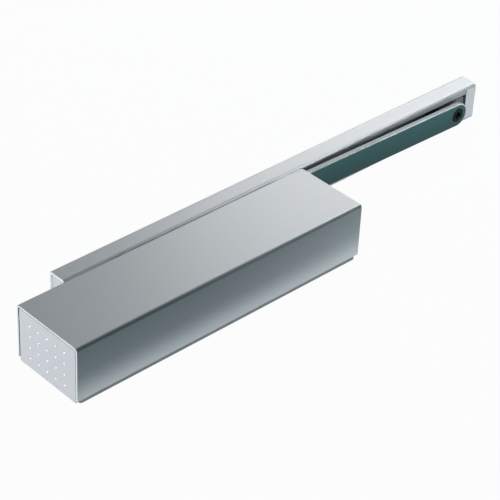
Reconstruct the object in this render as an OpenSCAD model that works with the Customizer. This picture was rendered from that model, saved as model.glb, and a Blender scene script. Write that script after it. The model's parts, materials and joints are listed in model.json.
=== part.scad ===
/* [Closer body] */
// Length of the closer body along the door
body_len = 275; // [262:1:300]
// Height of the body, from its underside to the arm's side
body_h = 67; // [65:0.5:75]
// Depth of the body, from the door to its front face
body_d = 49; // [48.5:0.5:54]
// Thickness of the cover's sheet
cover_t = 1.6; // [1.2:0.1:2]
// Outer bend radius of the cover's long edges
cover_bend_r = 2.5; // [2.2:0.1:4]
// Thickness of the mounting plate
plate_t = 3; // [2.5:0.1:3.5]
// Step from the cover's side face in to the edge of the mounting plate
plate_inset = 0.4; // [0.2:0.1:1]
// Gap between fixed pieces that lie against each other
seat_gap = 0.3; // [0.2:0.05:0.4]
// Radius of the round boss that fills the cover's notch at the spindle
boss_r = 18; // [17:0.5:20]

/* [Fixing holes of the body] */
// Distance from an end of the body to the door screws
fix_inset = 10.5; // [9:0.5:12]
// Distance between the two door screws at one end
fix_pitch_y = 19; // [16:1:30]
// Radius of a door screw's hole
fix_r = 2.75; // [2.2:0.05:3]
// Radius of the countersink for a door screw's head
fix_head_r = 5.25; // [4.6:0.05:5.5]
// Radius of the screws that hold the housing on its plate
screw_r = 3; // [2.5:0.1:3.2]
// Head radius of the housing screws
screw_head_r = 5; // [4.6:0.1:5.4]
// Head height of the housing screws
screw_head_h = 6; // [4:0.5:7]

/* [End caps of the body] */
// Thickness of an end cap's face
cap_t = 2.2; // [1.8:0.1:3]
// Recess of an end cap inside the cover's cut edge
cap_recess = 0.3; // [0.1:0.1:0.6]
// Distance between neighbouring pips
pip_pitch = 9.6; // [8:0.1:10.5]
// Pips along the height of the body
pip_columns = 5; // [3:1:5]
// Pips along the depth of the body
pip_rows = 4; // [2:1:4]
// Radius of a pip where it leaves the face
pip_r = 1.2; // [0.9:0.1:1.5]
// Height of a pip above the face
pip_rise = 0.5; // [0.3:0.05:0.6]
// Depth of the rim behind an end cap's face
cap_rim_depth = 5.5; // [4:0.5:6]
// Thickness of that rim
cap_rim_t = 1.6; // [1.2:0.1:2]

/* [Housing] */
// Distance from an end of the body to the housing
housing_inset = 19.5; // [18:0.5:22]
// Wall of the tube round the piston bore
bore_wall = 3.3; // [3:0.1:4]
// Step from the housing's flat faces in to the tube
tube_inset = 0.25; // [0.1:0.05:0.6]
// Length of the flange at each end of the housing
flange_len = 26; // [22:0.5:28]
// Depth of the web between tube, flanges and screw bosses
web_d = 31; // [24:1:34]
// Radius of the screw bosses
screw_boss_r = 7; // [6.5:0.1:7.4]
// Distance of the screw bosses from the housing's ends
screw_inset = 30; // [28:0.5:34]
// Half length of the block round the spindle
spindle_block = 24; // [21:0.5:26]
// Radius of a regulating valve's body
valve_r = 3.5; // [3:0.1:3.6]
// Length of a regulating valve
valve_len = 20; // [16:0.5:21]
// Distance from the housing's side face to a valve's axis
valve_edge = 6.6; // [6:0.1:7.2]
// Distance from the piston bore's axis to a valve, along the depth
valve_off_z = 12.5; // [11:0.1:13]

/* [Cam and pistons] */
// Distance from the body's left end to the spindle's axis
spindle_from_end = 110; // [108:0.5:112]
// Radius of the spindle
spindle_r = 7.5; // [7:0.1:7.7]
// Smallest radius of the cam, at its notch
cam_min_r = 8; // [7.9:0.05:8.2]
// Rise of the cam over half a turn
cam_lift = 10; // [8:0.1:10.1]
// Thickness of the cam and the rollers
cam_t = 12; // [9:0.5:12.5]
// Radius of the two rollers
roller_r = 8; // [7:0.1:8.2]
// Radius of the roller pins
pin_r = 4; // [3.5:0.1:4.5]
// Gap between cam and rollers
cam_gap = 0.3; // [0.2:0.05:0.4]
// Gap round a running fit
run_gap = 0.05; // [0.03:0.01:0.09]
// Distance that a piston's fork reaches past its roller pin
fork_reach = 5; // [4.6:0.1:5.4]
// Length of the closing side's piston
spring_piston_len = 38; // [34:0.5:41]
// Length of the damping side's piston
damping_piston_len = 35; // [32:0.5:37]
// Radial thickness of the spindle's bearings
bearing_t = 5.5; // [4.5:0.1:6]
// Length of a spindle bearing
bearing_len = 6.5; // [5:0.1:6.8]
// Thickness of the spindle's lip seal
seal_len = 3; // [2:0.1:3.2]
// Extra radius of the screwed bearing caps past the bearings
bearing_cap_step = 2.5; // [1.5:0.1:3]

/* [Springs] */
// Wire radius of the outer closing spring
outer_wire_r = 2.6; // [2:0.1:2.7]
// Radial gap between the outer closing spring and the bore
bore_spring_gap = 1.3; // [1:0.1:1.6]
// Radial gap between the two closing springs
nest_gap = 1.8; // [1.7:0.1:2]
// Turns of the outer closing spring
outer_turns = 8; // [6:1:9]
// Wire radius of the inner closing spring
inner_wire_r = 1.6; // [1.2:0.1:1.7]
// Turns of the inner closing spring
inner_turns = 12; // [8:1:13]
// Wire radius of the damping piston's return spring
return_wire_r = 1; // [0.8:0.05:1.1]
// Mean radius of the return spring
return_coil_r = 11; // [9:0.1:12.5]
// Turns of the return spring
return_turns = 5; // [4:1:5]
// Thickness of the spring seat
seat_t = 6; // [5:0.5:7]
// Distance from the spring seat to the end plug, all of it adjusting travel and screw collar
seat_from_plug = 7; // [6.5:0.1:8]
// Travel of the spring seat over the whole adjustment
seat_travel = 9; // [6:0.5:9.5]
// Radius of the adjusting screw
adjuster_r = 4; // [3.5:0.1:4.4]
// Length of the end plugs
plug_len = 15; // [13:0.5:16]
// Extra radius of the threaded part of the end plugs
plug_step = 1.2; // [0.8:0.1:1.4]

/* [Arm] */
// Distance between the spindle and the slide bolt
arm_len = 361; // [340:1:390]
// Width of the arm
arm_w = 21.6; // [18:0.2:24]
// Thickness of the arm
arm_t = 4.7; // [4.4:0.1:6]
// Gap between the body and the arm
arm_gap = 8.6; // [8:0.1:12]
// Radius of the arm's hub
hub_r = 11.5; // [11:0.1:14]
// Chamfer along the arm's edges
arm_chamfer = 0.8; // [0.4:0.1:1]
// Radius of the slide bolt's pin
bolt_r = 5; // [4.5:0.1:5.4]
// Radius of the slide bolt's head
bolt_head_r = 6.4; // [6:0.1:7]
// Height of the slide bolt's head
bolt_head_h = 2.6; // [2:0.1:2.8]
// Width of the square on top of the spindle
square_w = 11; // [10:0.1:11.4]
// Radius of the raised ring round the slide bolt
bolt_boss_r = 9.2; // [8:0.1:10]
// Radius of the arm screw's thread
arm_screw_r = 3; // [2.5:0.1:3.2]

/* [Slide channel] */
// Length of the slide channel
rail_len = 446; // [420:1:470]
// Height of the slide channel
rail_h = 16.7; // [16:0.1:20]
// Depth of the slide channel, from the frame to its front
rail_d = 33; // [32:0.5:36]
// Wall of the slide channel
rail_wall = 2.2; // [1.8:0.1:2.4]
// Width of each lip beside the channel's slot, its wall included
rail_lip = 6.5; // [6:0.1:7.5]
// Gap between the arm and the slide channel
rail_gap = 3.9; // [3.5:0.1:5]
// Radius of the channel's front edges
rail_edge_r = 1.6; // [1:0.1:2]
// Length of the long end piece
end_long = 36; // [32:0.5:42]
// Length of the short end piece
end_short = 12; // [11.5:0.5:16]
// How far the end pieces stand proud of the channel's lips
end_proud = 0.5; // [0.2:0.1:0.8]
// Radius of the holes in the end pieces
rail_fix_r = 2.6; // [2:0.1:2.7]
// Radius of the recess for a screw's head in the end pieces
rail_fix_head_r = 4.7; // [4:0.1:4.9]
// Depth of material under that head
rail_fix_seat = 8; // [6:0.5:10]
// Length of the slide block
block_len = 30; // [26:0.5:36]
// Gap between the slide block and the short end piece with the door closed
stop_gap = 3.2; // [2:0.1:6]
// Sliding gap round the slide block
block_gap = 0.3; // [0.2:0.05:0.4]
// Radial thickness of the bush in the slide block
bush_t = 1.8; // [1.2:0.1:2.2]

/* [Hidden] */
$fn = 64;
cut = 1;                                        // how far a cutting shape runs past a face
sliver = 0.1;                                   // gap between pieces in a thread or a groove

half_len = body_len / 2;
half_h = body_h / 2;
inner_half_h = half_h - cover_t;
housing_half = half_len - housing_inset;
housing_half_h = inner_half_h - seat_gap;
housing_z0 = plate_t;
housing_z1 = body_d - cover_t - seat_gap;
housing_d = housing_z1 - housing_z0;
axis_z = (housing_z0 + housing_z1) / 2;
cap_corner_r = 1;
pip_mid_z = (plate_t + body_d) / 2 - 3;
boss_top = half_h - seat_gap;
spindle_x = spindle_from_end - half_len;
housing_corner_r = 6;
web_inset = 1;                                  // step from the flanges' sides in to the web
web_corner_r = 3;
plate_corner_r = 2;
socket_depth = 3;
bore_r = housing_d / 2 - tube_inset - bore_wall;
valve_off_y = housing_half_h - valve_edge;

screw_x = housing_half - screw_inset;
screw_y = housing_half_h - screw_boss_r;

cam_k = cam_lift / PI;                          // rise of the cam in mm per radian
pitch_r0 = cam_min_r + roller_r;
cam_max_r = cam_min_r + cam_lift;
cam_half = cam_t / 2;
chamber_r = cam_max_r + 2 * seat_gap;
slot_half = cam_half + seat_gap;
spring_roller_x = spindle_x + pitch_r0 + cam_gap;
damping_roller_x = spindle_x - pitch_r0 - cam_lift - cam_gap;
piston_r = bore_r - run_gap;
roller_room = roller_r + 1.5;
pin_half = piston_r - 3.4;
fork_flat = 2;                                  // depth of the flats that let oil past a fork
piston_groove_w = 1.6;
piston_groove_depth = 1.2;
piston_groove_inset = 9;                        // from a piston's back to its groove
outer_coil_r = bore_r - bore_spring_gap - outer_wire_r;
inner_coil_r = outer_coil_r - outer_wire_r - nest_gap - inner_wire_r;
guide_r = inner_coil_r - inner_wire_r - 1;      // spigot that keeps the inner spring centred
guide_len = 6;
check_r = 4.5;
check_len = 8.5;
check_bore_r = 2.6;
check_port_r = 1.2;
roller_groove_w = 1.6;
roller_groove_depth = 0.5;

plug_r = bore_r + plug_step;
plug_thread_len = 10;
spanner_hole_r = 2;
spanner_hole_depth = 4;
spanner_pitch_r = 12;
plug_inner_x = housing_half - plug_len;
seal_wire_r = 0.95;
seal_pos = plug_len - 2.6;                      // from the housing's end to the middle of an O-ring
seat_x1 = plug_inner_x - seat_from_plug;
seat_x0 = seat_x1 - seat_t;
collar_t = 2.4;
collar_r = adjuster_r + 3;
adjuster_socket = 4;
screw_past_seat = 2;                            // thread left past the seat at the end of its travel
seat_port_r = 1.4;
seat_port_pitch_r = 12;
spring_piston_x0 = spring_roller_x - fork_reach;
spring_piston_x1 = spring_piston_x0 + spring_piston_len;
damping_piston_x1 = damping_roller_x + fork_reach;
damping_piston_x0 = damping_piston_x1 - damping_piston_len;

bearing_r = spindle_r + run_gap + bearing_t;
bearing_y0 = bore_r + seat_gap + sliver;
bearing_y1 = bearing_y0 + bearing_len;
seal_y0 = bearing_y1 + 2 * sliver;
seal_y1 = seal_y0 + seal_len;
seal_rim_t = 1.4;
seal_lip_t = 1.2;
bearing_cap_r = bearing_r + bearing_cap_step;
cap_slot_w = 3;
cap_slot_depth = 2.5;
cap_socket = 10;

arm_y0 = half_h + arm_gap;
arm_y1 = arm_y0 + arm_t;
hub_y0 = boss_top + 1.1;
screw_web = arm_screw_r + 2 * sliver;           // metal over the square, for the arm screw's head
square_top = arm_y1 - screw_web - 2 * sliver;
arm_screw_len = 16;
driver_depth = 2;
rail_y0 = arm_y1 + rail_gap;
rail_y1 = rail_y0 + rail_h;
slot_z = rail_d / 2;
arm_drop = asin((axis_z - slot_z) / arm_len);   // angle that the arm falls towards the channel
bolt_x = spindle_x + arm_len * cos(arm_drop);
bolt_boss_y1 = rail_y0 - end_proud - 0.4;
rail_x1 = bolt_x + block_len / 2 + stop_gap + end_short;
rail_x0 = rail_x1 - rail_len;
slot_x0 = rail_x0 + end_long;
slot_x1 = rail_x1 - end_short;
cavity_y0 = rail_y0 + rail_wall;
cavity_y1 = rail_y1 - rail_wall;
block_y0 = cavity_y0 + block_gap;
block_y1 = cavity_y1 - block_gap;
ring_t = 1;
ring_recess = 3.4;                              // depth of the block's recess for the retaining ring
ring_y1 = block_y1 - 1.6;
ring_y0 = ring_y1 - ring_t;
ring_groove = 0.7;
ring_r = bolt_r + 2.2;
ring_eye_r = 1.5;
ring_mouth = 2.4;
ring_recess_r = ring_r + ring_eye_r + 0.7;
bolt_top = ring_y1 + 0.8;
bush_r = bolt_r + run_gap + bush_t;
block_corner_r = 3;
end_mid_y = (cavity_y0 + cavity_y1) / 2;
end_fix_left = rail_x0 + end_long / 2;
end_fix_right = rail_x1 - end_short / 2;
foot_w = end_short - 4;
clamp_r = 2.5;
clamp_x = slot_x0 - 6.5;
clamp_recess = 0.5;
clamp_socket = 2.5;

SILVER = [0.74, 0.76, 0.77];
CAP_GREY = [0.80, 0.81, 0.83];
STEEL = [0.55, 0.57, 0.58];
BRIGHT = [0.72, 0.72, 0.70];
CAST = [0.50, 0.51, 0.52];
DARK = [0.16, 0.18, 0.19];
PLATE_GREY = [0.38, 0.40, 0.41];
BRASS = [0.72, 0.58, 0.28];

module rod_x(x0, x1, r, y = 0, z = axis_z) {
    translate([x0, y, z])
        rotate([0, 90, 0])
            cylinder(h = x1 - x0, r = r);
}

module rod_y(y0, y1, r, x = spindle_x, z = axis_z) {
    translate([x, y0, z])
        rotate([-90, 0, 0])
            cylinder(h = y1 - y0, r = r);
}

module rod_z(z0, z1, r, x, y) {
    translate([x, y, z0])
        cylinder(h = z1 - z0, r = r);
}

module hex_x(x0, x1, flats, y = 0, z = axis_z) {
    translate([x0, y, z])
        rotate([0, 90, 0])
            cylinder(h = x1 - x0, r = flats / sqrt(3), $fn = 6);
}

module hex_y(y0, y1, flats, x, z) {
    translate([x, y0, z])
        rotate([-90, 0, 0])
            cylinder(h = y1 - y0, r = flats / sqrt(3), $fn = 6);
}

// Shape with two square corners at the bottom and two round ones at the top
module arch(w, h, r) {
    translate([-w / 2, 0]) square([w, h - r]);
    translate([-w / 2 + r, 0]) square([w - 2 * r, h]);
    for (side = [-1, 1])
        translate([side * (w / 2 - r), h - r]) circle(r = r);
}

module rounded_rect(w, h, r) {
    translate([-w / 2 + r, -h / 2]) square([w - 2 * r, h]);
    translate([-w / 2, -h / 2 + r]) square([w, h - 2 * r]);
    for (sx = [-1, 1], sy = [-1, 1])
        translate([sx * (w / 2 - r), sy * (h / 2 - r)]) circle(r = r);
}

// Extrudes a drawing whose x is the body's Y and whose y is the body's Z
module along_x(x0, x1) {
    translate([x0, 0, 0])
        rotate([90, 0, 90])
            linear_extrude(height = x1 - x0)
                children();
}

module mounting_plate() {
    color(PLATE_GREY)
        difference() {
            linear_extrude(height = plate_t - sliver)
                rounded_rect(body_len - 2 * (cap_recess + cap_t + seat_gap),
                             body_h - 2 * plate_inset, plate_corner_r);
            for (sx = [-1, 1], sy = [-1, 1]) {
                fix_x = sx * (half_len - fix_inset);
                fix_y = sy * fix_pitch_y / 2;
                rod_z(-cut, plate_t + cut, fix_r, fix_x, fix_y);
                translate([fix_x, fix_y, plate_t - sliver - (fix_head_r - fix_r)])
                    cylinder(h = fix_head_r - fix_r + sliver, r1 = fix_r, r2 = fix_head_r + sliver);
                rod_z(-cut, plate_t + cut, screw_r + run_gap, sx * screw_x, sy * screw_y);
            }
        }
}

module housing_solid() {
    // the two flanges and the block round the spindle
    for (span = [[-housing_half, -housing_half + flange_len],
                 [housing_half - flange_len, housing_half],
                 [spindle_x - spindle_block, spindle_x + spindle_block]])
        along_x(span[0], span[1])
            translate([0, axis_z]) rounded_rect(2 * housing_half_h, housing_d, housing_corner_r);
    along_x(-housing_half + cut, housing_half - cut)
        translate([0, axis_z])
            rounded_rect(2 * (housing_half_h - web_inset), web_d, web_corner_r);
    rod_x(-housing_half + cut, housing_half - cut, bore_r + bore_wall);
    for (sx = [-1, 1], sy = [-1, 1])
        rod_z(housing_z0, housing_z1, screw_boss_r, sx * screw_x, sy * screw_y);
    rod_y(0, boss_top, boss_r);
}

module housing_bores() {
    rod_x(-housing_half - cut, housing_half + cut, bore_r);
    rod_x(-housing_half - cut, -housing_half + plug_thread_len, plug_r + run_gap);
    rod_x(housing_half - plug_thread_len, housing_half + cut, plug_r + run_gap);
    rod_y(-slot_half - seat_gap, slot_half + seat_gap, chamber_r);
    rod_y(0, boss_top + cut, bearing_r + run_gap);
    rod_y(seal_y1 + 2 * sliver, boss_top + cut, bearing_cap_r + run_gap);
    rod_y(-bearing_y1 - seat_gap, 0, bearing_r + run_gap);
    rod_y(-housing_half_h - cut, -bearing_y1 - seat_gap, bearing_cap_r + run_gap);
    for (sx = [-1, 1], sy = [-1, 1]) {
        rod_z(0, housing_z1 + cut, screw_r + sliver, sx * screw_x, sy * screw_y);
        rod_z(housing_z1 - screw_head_h - sliver, housing_z1 + cut, screw_head_r + sliver,
              sx * screw_x, sy * screw_y);
    }
    for (side = [[-1, 1], [-1, -1], [1, 1]])
        rod_x(-housing_half - cut, -housing_half + valve_len + sliver, valve_r + run_gap,
              side[0] * valve_off_y, axis_z + side[1] * valve_off_z);
}

module housing() {
    color(CAST)
        difference() {
            housing_solid();
            housing_bores();
        }
}

module cover() {
    notch_r = boss_r + seat_gap;
    cover_z0 = plate_t + sliver;
    color(SILVER)
        difference() {
            along_x(-half_len, half_len)
                translate([0, cover_z0])
                    difference() {
                        arch(body_h, body_d - cover_z0, cover_bend_r);
                        translate([0, -cut])
                            arch(2 * inner_half_h, body_d - cover_t - cover_z0 + cut,
                                 cover_bend_r - cover_t);
                    }
            rod_y(inner_half_h - cut, half_h + cut, notch_r);
            translate([spindle_x - notch_r, inner_half_h - cut, 0])
                cube([2 * notch_r, cover_t + 2 * cut, axis_z]);
        }
}

// An end cap in place at the body's left end
module end_cap_shape() {
    face_x = -half_len + cap_recess;
    face_w = 2 * (inner_half_h - seat_gap);
    face_z0 = seat_gap;
    face_h = body_d - cover_t - seat_gap - face_z0;
    rim_z0 = plate_t + seat_gap;
    // the ball that a pip is the crown of
    ball_r = (pip_r * pip_r + pip_rise * pip_rise) / (2 * pip_rise);
    along_x(face_x, face_x + cap_t)
        translate([0, face_z0]) arch(face_w, face_h, cap_corner_r);
    difference() {
        along_x(face_x + cap_t - sliver, face_x + cap_t + cap_rim_depth)
            translate([0, rim_z0]) arch(face_w, face_z0 + face_h - rim_z0, cap_corner_r);
        along_x(face_x + cap_t - cut, face_x + cap_t + cap_rim_depth + cut)
            translate([cap_rim_t - face_w / 2, rim_z0 - cut])
                square([face_w - 2 * cap_rim_t, face_z0 + face_h - cap_rim_t - rim_z0 + cut]);
    }
    for (i = [0 : pip_columns - 1], j = [0 : pip_rows - 1])
        translate([face_x, (i - (pip_columns - 1) / 2) * pip_pitch,
                   pip_mid_z + (j - (pip_rows - 1) / 2) * pip_pitch])
            intersection() {
                translate([ball_r - pip_rise, 0, 0]) sphere(r = ball_r);
                translate([-pip_rise - cut, -pip_r - cut, -pip_r - cut])
                    cube([pip_rise + cut + cap_t / 2, 2 * (pip_r + cut), 2 * (pip_r + cut)]);
            }
}

module end_cap_left() {
    color(CAP_GREY) end_cap_shape();
}

module end_cap_right() {
    color(CAP_GREY) mirror([1, 0, 0]) end_cap_shape();
}

module housing_screws() {
    head_z = housing_z1 - screw_head_h;
    color(STEEL)
        for (sx = [-1, 1], sy = [-1, 1])
            difference() {
                union() {
                    rod_z(seat_gap, head_z + sliver, screw_r, sx * screw_x, sy * screw_y);
                    rod_z(head_z, housing_z1 - sliver, screw_head_r, sx * screw_x, sy * screw_y);
                }
                translate([sx * screw_x, sy * screw_y, housing_z1 - socket_depth])
                    cylinder(h = socket_depth + cut, r = screw_r - 0.1, $fn = 6);
            }
}

// An end plug in place at the body's right end
module end_plug_shape() {
    seal_x = housing_half - seal_pos;
    difference() {
        union() {
            rod_x(housing_half - plug_thread_len + sliver, housing_half, plug_r);
            rod_x(plug_inner_x, housing_half - plug_thread_len + 2 * sliver, piston_r);
        }
        translate([seal_x, 0, axis_z])
            rotate([0, 90, 0])
                rotate_extrude()
                    translate([piston_r - 2 * seal_wire_r, -seal_wire_r - sliver])
                        square([2 * seal_wire_r + cut, 2 * (seal_wire_r + sliver)]);
        for (side = [-1, 1])
            rod_x(housing_half - spanner_hole_depth, housing_half + cut, spanner_hole_r,
                  side * spanner_pitch_r);
    }
}

module end_plug_left() {
    color(STEEL) mirror([1, 0, 0]) end_plug_shape();
}

module end_plug_right() {
    color(STEEL)
        difference() {
            end_plug_shape();
            rod_x(plug_inner_x - cut, housing_half + cut, adjuster_r + run_gap);
        }
}

module plug_seals() {
    color(DARK)
        for (side = [-1, 1])
            translate([side * (housing_half - seal_pos), 0, axis_z])
                rotate([0, 90, 0])
                    rotate_extrude()
                        translate([piston_r - seal_wire_r, 0])
                            circle(r = seal_wire_r, $fn = 24);
}

module ring_y(y0, y1, r_out, r_in) {
    difference() {
        rod_y(y0, y1, r_out);
        rod_y(y0 - cut, y1 + cut, r_in);
    }
}

module upper_bearing() {
    color(BRIGHT) ring_y(bearing_y0, bearing_y1, bearing_r, spindle_r + run_gap);
}

module lower_bearing() {
    color(BRIGHT) ring_y(-bearing_y1, -bearing_y0, bearing_r, spindle_r + run_gap);
}

module spindle_seal() {
    color(DARK)
        difference() {
            ring_y(seal_y0, seal_y1, bearing_r, spindle_r + run_gap);
            ring_y(seal_y1 - seal_len / 2, seal_y1 + cut, bearing_r - seal_rim_t,
                   spindle_r + seal_lip_t);
        }
}

module bearing_cap_top() {
    color(STEEL)
        difference() {
            ring_y(seal_y1 + seat_gap, boss_top, bearing_cap_r, spindle_r + seat_gap);
            for (turn = [0 : 90 : 270])
                translate([spindle_x, boss_top, axis_z])
                    rotate([0, turn, 0])
                        translate([bearing_cap_r, 0, 0])
                            cube([2 * cap_slot_depth, cap_slot_w, cap_slot_w], center = true);
        }
}

module bearing_cap_bottom() {
    color(STEEL)
        difference() {
            rod_y(-housing_half_h, -bearing_y1 - 2 * seat_gap, bearing_cap_r);
            hex_y(-housing_half_h - cut, -housing_half_h + socket_depth - sliver, cap_socket,
                  spindle_x, axis_z);
        }
}

// Point where the cam's flank touches its roller, seen from the spindle
function flank(turn) =
    let (r = pitch_r0 + cam_lift * turn / 180,
         tangent = [cam_k * cos(turn) - r * sin(turn), cam_k * sin(turn) + r * cos(turn)])
    [r * cos(turn), r * sin(turn)] + roller_r * [-tangent[1], tangent[0]] / norm(tangent);

// Heart with equal rise on both flanks, so that both rollers stay in touch at every angle
module cam_outline() {
    notch_step = atan(cam_k / pitch_r0) / 3;
    notch = [for (i = [-2 : 2]) [pitch_r0 - roller_r * cos(i * notch_step),
                                 roller_r * sin(i * notch_step)]];
    upper = [for (turn = [0 : 4 : 180]) let (p = flank(turn)) if (p[1] > 0) p];
    lower = [for (i = [len(upper) - 1 : -1 : 0]) [upper[i][0], -upper[i][1]]];
    polygon(concat(notch, upper, lower));
}

// Turns what lies along +X from the spindle so that it falls towards the channel
module at_arm_angle() {
    translate([spindle_x, 0, axis_z])
        rotate([0, arm_drop, 0])
            children();
}

module cam_spindle() {
    color(BRIGHT)
        difference() {
            union() {
                rod_y(-bearing_y1, square_top, spindle_r);
                translate([spindle_x, cam_half, axis_z])
                    rotate([90, 0, 0])
                        linear_extrude(height = cam_t)
                            cam_outline();
            }
            rod_y(square_top - arm_screw_len - seat_gap, square_top + cut, arm_screw_r + run_gap);
            // flats of the square end, turned like the arm
            at_arm_angle()
                for (turn = [0 : 90 : 270])
                    rotate([0, turn, 0])
                        translate([square_w / 2, seal_y1, -spindle_r - cut])
                            cube([spindle_r, square_top - seal_y1 + cut, 2 * (spindle_r + cut)]);
        }
}

// Round plate with chamfered rims, its axis along Y
module chamfered_disc(y0, y1, r, x) {
    translate([x, y0, 0])
        rotate([-90, 0, 0])
            rotate_extrude()
                polygon([[0, 0], [r - arm_chamfer, 0], [r, arm_chamfer],
                         [r, y1 - y0 - arm_chamfer], [r - arm_chamfer, y1 - y0], [0, y1 - y0]]);
}

module arm_bar() {
    w = arm_w / 2;
    c = arm_chamfer;
    rotate([90, 0, 90])
        linear_extrude(height = arm_len)
            polygon([[arm_y0 + c, -w], [arm_y1 - c, -w], [arm_y1, c - w], [arm_y1, w - c],
                     [arm_y1 - c, w], [arm_y0 + c, w], [arm_y0, w - c], [arm_y0, c - w]]);
}

module arm() {
    color(SILVER)
        at_arm_angle()
            difference() {
                union() {
                    arm_bar();
                    chamfered_disc(arm_y0, arm_y1, arm_w / 2, arm_len);
                    chamfered_disc(arm_y0, arm_y1, hub_r, 0);
                    translate([0, hub_y0, 0])
                        rotate([-90, 0, 0])
                            cylinder(h = arm_y0 - hub_y0 + cut, r = hub_r - cut);
                    translate([arm_len, arm_y0 + cut, 0])
                        rotate([-90, 0, 0])
                            cylinder(h = bolt_boss_y1 - arm_y0 - cut, r = bolt_boss_r);
                }
                translate([0, (hub_y0 + arm_y1 - screw_web) / 2 - cut, 0])
                    cube([square_w + sliver, arm_y1 - screw_web - hub_y0 + 2 * cut,
                          square_w + sliver], center = true);
                translate([0, arm_y1 - screw_web - cut, 0])
                    rotate([-90, 0, 0])
                        cylinder(h = screw_web + 2 * cut, r = arm_screw_r + run_gap);
                translate([0, arm_y1 - arm_screw_r + run_gap, 0])
                    rotate([-90, 0, 0])
                        cylinder(h = arm_screw_r, r1 = arm_screw_r + run_gap,
                                 r2 = 2 * arm_screw_r + run_gap);
                translate([arm_len, arm_y0 - cut, 0])
                    rotate([-90, 0, 0])
                        cylinder(h = bolt_head_h + cut, r = bolt_head_r + 2 * sliver);
                translate([arm_len, arm_y0, 0])
                    rotate([-90, 0, 0])
                        cylinder(h = bolt_boss_y1 - arm_y0 + cut, r = bolt_r + run_gap);
            }
}

module arm_screw() {
    color(STEEL)
        at_arm_angle()
            difference() {
                union() {
                    translate([0, arm_y1 - arm_screw_r, 0])
                        rotate([-90, 0, 0])
                            cylinder(h = arm_screw_r - sliver, r1 = arm_screw_r,
                                     r2 = 2 * arm_screw_r - sliver);
                    translate([0, square_top - arm_screw_len, 0])
                        rotate([-90, 0, 0])
                            cylinder(h = arm_y1 - arm_screw_r - square_top + arm_screw_len + sliver,
                                     r = arm_screw_r);
                }
                translate([0, arm_y1 - driver_depth, 0])
                    rotate([-90, 0, 0])
                        cylinder(h = driver_depth + cut, r = arm_screw_r * 0.75, $fn = 6);
            }
}

module slide_bolt() {
    head_y = arm_y0 + bolt_head_h - sliver;
    color(DARK)
        at_arm_angle()
            translate([arm_len, 0, 0])
                rotate([-90, 0, 0])
                    difference() {
                        union() {
                            translate([0, 0, arm_y0 - 2 * sliver])
                                cylinder(h = head_y - arm_y0 + 2 * sliver, r = bolt_head_r);
                            translate([0, 0, head_y - sliver])
                                cylinder(h = bolt_top - head_y + sliver, r = bolt_r);
                        }
                        translate([0, 0, arm_y0 - cut])
                            cylinder(h = driver_depth + cut, r = bolt_head_r * 0.5, $fn = 6);
                        translate([0, 0, ring_y0 - run_gap])
                            difference() {
                                cylinder(h = ring_t + 2 * run_gap, r = bolt_r + cut);
                                translate([0, 0, -cut])
                                    cylinder(h = ring_t + 2 * cut, r = bolt_r - ring_groove);
                            }
                    }
}

// Snap ring with an open mouth and two eyes for pliers
module retaining_ring() {
    color(STEEL)
        at_arm_angle()
            translate([arm_len, ring_y0, 0])
                rotate([-90, 0, 0])
                    difference() {
                        union() {
                            cylinder(h = ring_t, r = ring_r);
                            for (side = [-1, 1])
                                translate([ring_r - ring_eye_r / 2, side * ring_mouth, 0])
                                    cylinder(h = ring_t, r = ring_eye_r);
                        }
                        translate([0, 0, -cut])
                            cylinder(h = ring_t + 2 * cut, r = bolt_r - ring_groove + run_gap);
                        translate([0, -ring_mouth / 2, -cut])
                            cube([ring_recess_r, ring_mouth, ring_t + 2 * cut]);
                    }
}

// A piston with its fork towards the spindle; dir is 1 right of the spindle, -1 left of it
module piston_body(fork_x, back_x, roller_x, dir) {
    x0 = min(fork_x, back_x);
    x1 = max(fork_x, back_x);
    slot_end = roller_x + dir * roller_room;
    difference() {
        rod_x(x0, x1, piston_r);
        translate([min(fork_x - dir * cut, slot_end), -slot_half, axis_z - bore_r])
            cube([abs(slot_end - fork_x) + cut, 2 * slot_half, 2 * bore_r]);
        rod_y(-bore_r, bore_r, pin_r + run_gap, roller_x);
        for (side = [-1, 1])
            translate([min(fork_x - dir * cut, roller_x), -bore_r,
                       axis_z + side * bore_r - fork_flat])
                cube([abs(roller_x - fork_x) + cut, 2 * bore_r, 2 * fork_flat]);
    }
}

// Groove for a piston's sealing ring
module piston_groove(x) {
    translate([x, 0, axis_z])
        rotate([0, 90, 0])
            rotate_extrude()
                translate([piston_r - piston_groove_depth, -piston_groove_w / 2])
                    square([piston_groove_depth + cut, piston_groove_w]);
}

module spring_piston() {
    color(STEEL) {
        difference() {
            piston_body(spring_piston_x0, spring_piston_x1, spring_roller_x, 1);
            piston_groove(spring_piston_x1 - piston_groove_inset);
        }
        rod_x(spring_piston_x1 - cut, spring_piston_x1 + guide_len, guide_r);
    }
}

module damping_piston() {
    color(STEEL)
        difference() {
            piston_body(damping_piston_x1, damping_piston_x0, damping_roller_x, -1);
            piston_groove(damping_piston_x0 + piston_groove_inset);
            rod_x(damping_piston_x0 - cut, damping_piston_x0 + check_len + 2 * seat_gap,
                  check_r + run_gap);
        }
}

module check_valve() {
    color(BRASS)
        difference() {
            rod_x(damping_piston_x0 + seat_gap, damping_piston_x0 + seat_gap + check_len, check_r);
            rod_x(damping_piston_x0 - cut, damping_piston_x0 + check_len / 2, check_bore_r);
            rod_x(damping_piston_x0, damping_piston_x0 + check_len + cut, check_port_r);
        }
}

module pin_solid(x) {
    rod_y(-pin_half, pin_half, pin_r, x);
}

module spring_roller_pin() {
    color(BRIGHT) pin_solid(spring_roller_x);
}

module damping_roller_pin() {
    color(BRIGHT) pin_solid(damping_roller_x);
}

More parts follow.
